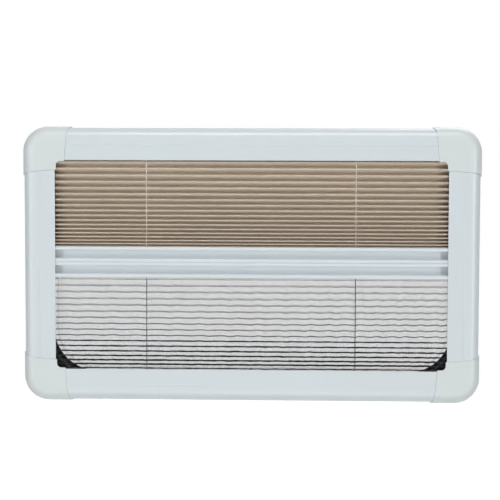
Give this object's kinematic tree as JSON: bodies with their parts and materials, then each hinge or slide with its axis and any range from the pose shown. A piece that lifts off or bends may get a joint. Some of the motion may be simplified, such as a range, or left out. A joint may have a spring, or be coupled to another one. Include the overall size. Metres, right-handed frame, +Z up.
{
  "type": "caravan window with pleated blind and insect screen",
  "caption": "Caravan window in a clamped frame, with a rounded double acrylic pane, a light trim frame inside, and a pleated blind and a pleated insect screen whose slide rails meet.",
  "frame": {"origin": "middle of the bottom strip of the outer flange, on its flat face that lies on the outside of the vehicle's wall", "axes": "+Z up, +X to the right seen from inside the vehicle, -Y towards the inside of the vehicle"},
  "size_m": [0.75, 0.059, 0.452],
  "materials": {
    "frame_black": "black polyurethane moulding, fine grain",
    "seal_rubber": "black rubber",
    "acrylic": "clear acrylic, faint grey tint",
    "inner_plastic": "dark grey plastic",
    "screw_steel": "zinc plated",
    "trim_paint": "pale cool grey powder coat on an aluminium profile, satin",
    "cover_plastic": "pale grey moulded plastic, satin",
    "channel_metal": "mill aluminium",
    "blind_cloth": "beige pleated blackout polyester",
    "rail_paint": "pale grey satin coat on an aluminium profile",
    "cap_plastic": "dark grey moulded plastic",
    "white_cord": "white braided cord",
    "screen_mesh": "dark grey woven polyester mesh, pleated",
    "black_cord": "black braided cord"
  },
  "bodies": {
    "frame": {"outer_flange": "frame_black", "frame_sleeve": "frame_black", "pane_seal": "seal_rubber", "pane_inner_sheet": "acrylic", "pane_outer_sheet": "acrylic", "mounting_frame": "inner_plastic", "fixing_screws": "screw_steel", "trim_top": "trim_paint", "trim_bottom": "trim_paint", "trim_left": "trim_paint", "trim_right": "trim_paint", "corner_cover_top_left": "cover_plastic", "corner_cover_top_right": "cover_plastic", "corner_cover_bottom_left": "cover_plastic", "corner_cover_bottom_right": "cover_plastic", "guide_left": "inner_plastic", "guide_right": "inner_plastic", "head_channel": "channel_metal", "sill_channel": "channel_metal", "blind_fabric": "blind_cloth", "blind_cord_left": "white_cord", "blind_cord_right": "white_cord", "screen_fabric": "screen_mesh", "screen_cord_left": "black_cord", "screen_cord_right": "black_cord"},
    "blind_slider": {"blind_rail": "rail_paint", "blind_rail_cap_left": "cap_plastic", "blind_rail_cap_right": "cap_plastic"},
    "screen_slider": {"screen_rail": "rail_paint", "screen_rail_cap_left": "cap_plastic", "screen_rail_cap_right": "cap_plastic"}
  },
  "joints": [
    {"name": "blind_slide", "type": "slide", "parent": "frame", "child": "blind_slider", "axis": [0, 0, 1], "range_m": [0, 0.114], "deforming": ["blind_fabric", "blind_cord_left", "blind_cord_right"]},
    {"name": "screen_slide", "type": "slide", "parent": "frame", "child": "screen_slider", "axis": [0, 0, 1], "range_m": [-0.125, 0], "deforming": ["screen_fabric", "screen_cord_left", "screen_cord_right"]}
  ]
}
